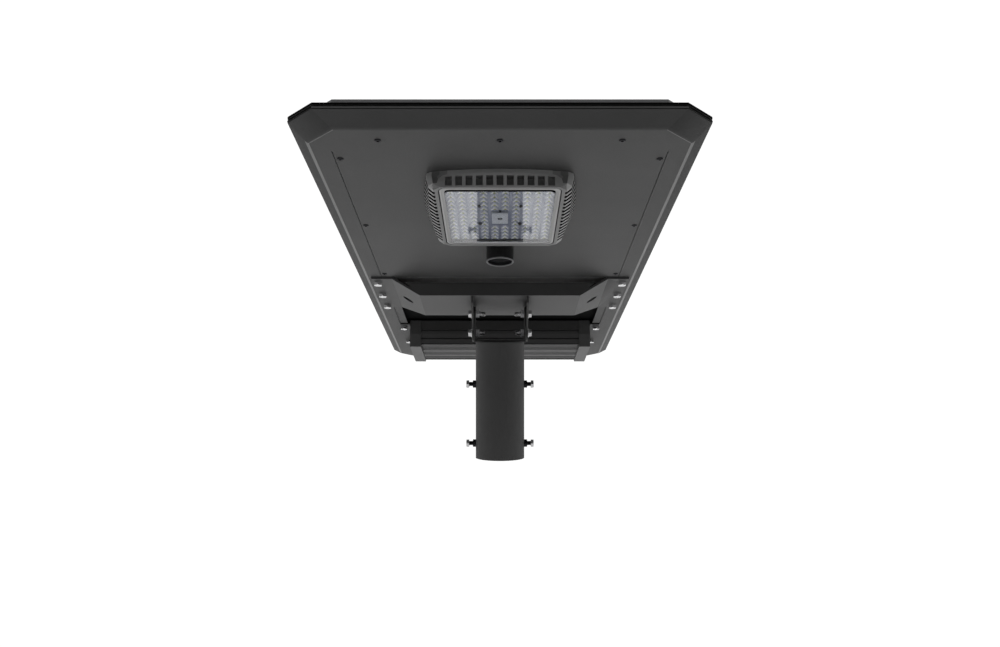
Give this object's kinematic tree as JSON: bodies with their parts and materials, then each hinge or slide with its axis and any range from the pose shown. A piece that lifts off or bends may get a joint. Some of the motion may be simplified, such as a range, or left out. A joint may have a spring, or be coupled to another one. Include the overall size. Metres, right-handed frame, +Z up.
{
  "type": "solar street lamp",
  "caption": "All-in-one solar street lamp: sloped sheet-metal head with a solar panel on top, LED module and motion sensor below, battery box behind, tilting on a clamped pole sleeve.",
  "frame": {"origin": "centre of the pole sleeve's lower mouth, on the sleeve axis", "axes": "+Z up the pole, +Y to the rear of the head (battery end), -Y to the lit front end, +X to the right seen from the front"},
  "size_m": [0.5154, 1.2095, 0.5141],
  "materials": {
    "grey_paint": "fine-texture powder coat, satin",
    "grey_sheet": "aluminium sheet, fine-texture powder coat, satin",
    "dark_paint": "black powder coat, matte",
    "black_oxide": "black oxide",
    "bright_steel": "bright zinc plated",
    "black_rubber": "matte",
    "anodised_frame": "anodised, satin",
    "white_sheet": "matte film",
    "solar_cell": "dark blue silicon",
    "panel_glass": "tempered, low iron",
    "black_plastic": "moulded",
    "bare_aluminium": "as extruded",
    "cast_grey": "die cast, powder coated",
    "lamp_glass": "clear, glossy",
    "lens_plastic": "clear moulded optic",
    "white_board": "white solder mask",
    "led_phosphor": "yellow phosphor",
    "white_plastic": "moulded",
    "smoked_lens": "smoked",
    "case_extrusion": "extruded, powder coated",
    "cap_paint": "die cast, powder coated",
    "cell_can": "sleeved battery cell, stands in for its real density",
    "green_board": "circuit board"
  },
  "bodies": {
    "base": {"sleeve_tube": "grey_paint", "clamp_nuts": "black_oxide", "yoke_bracket": "grey_paint", "pivot_bolts": "bright_steel", "lock_bolts": "bright_steel", "yoke_washers": "bright_steel", "yoke_nuts": "bright_steel"},
    "head": {"battery_bolts": "bright_steel", "battery_cap_left": "cap_paint", "battery_cap_right": "cap_paint", "battery_case": "case_extrusion", "battery_cells": "cell_can", "battery_nuts": "bright_steel", "bay_bulkhead": "grey_sheet", "bay_roof": "dark_paint", "beam_bolts": "bright_steel", "beam_nuts": "bright_steel", "bms_board": "green_board", "charge_controller": "bare_aluminium", "cover_frame": "grey_sheet", "cover_plate": "grey_sheet", "cover_screws": "black_oxide", "cross_beam": "grey_paint", "housing_front": "grey_sheet", "housing_rear": "grey_sheet", "junction_box": "black_plastic", "led_bezel": "cast_grey", "led_board": "white_board", "led_chips": "led_phosphor", "led_glass": "lamp_glass", "led_heatsink": "cast_grey", "lens_plate": "lens_plastic", "module_gasket": "black_rubber", "module_screws": "black_oxide", "optic_clip": "white_plastic", "panel_tray": "grey_sheet", "rim_gasket": "black_rubber", "sensor_body": "black_plastic", "sensor_lens": "smoked_lens", "side_rail_left": "grey_sheet", "side_rail_right": "grey_sheet", "solar_backsheet": "white_sheet", "solar_cells": "solar_cell", "solar_frame": "anodised_frame", "solar_glass": "panel_glass", "tilt_plate_left": "grey_paint", "tilt_plate_right": "grey_paint"},
    "clamp_screw_1": {"clamp_screw_1": "bright_steel"},
    "clamp_screw_2": {"clamp_screw_2": "bright_steel"},
    "clamp_screw_3": {"clamp_screw_3": "bright_steel"},
    "clamp_screw_4": {"clamp_screw_4": "bright_steel"}
  },
  "joints": [
    {"name": "head_tilt", "type": "hinge", "parent": "base", "child": "head", "pos_m": [0, 0, 0.2642], "axis": [1, 0, 0], "range_deg": [-15, 15]},
    {"name": "clamp_screw_1_travel", "type": "slide", "parent": "base", "child": "clamp_screw_1", "axis": [1, 0, 0], "range_m": [0, 0.0065]},
    {"name": "clamp_screw_2_travel", "type": "slide", "parent": "base", "child": "clamp_screw_2", "axis": [-1, 0, 0], "range_m": [0, 0.0065]},
    {"name": "clamp_screw_3_travel", "type": "slide", "parent": "base", "child": "clamp_screw_3", "axis": [1, 0, 0], "range_m": [0, 0.0065]},
    {"name": "clamp_screw_4_travel", "type": "slide", "parent": "base", "child": "clamp_screw_4", "axis": [-1, 0, 0], "range_m": [0, 0.0065]}
  ]
}
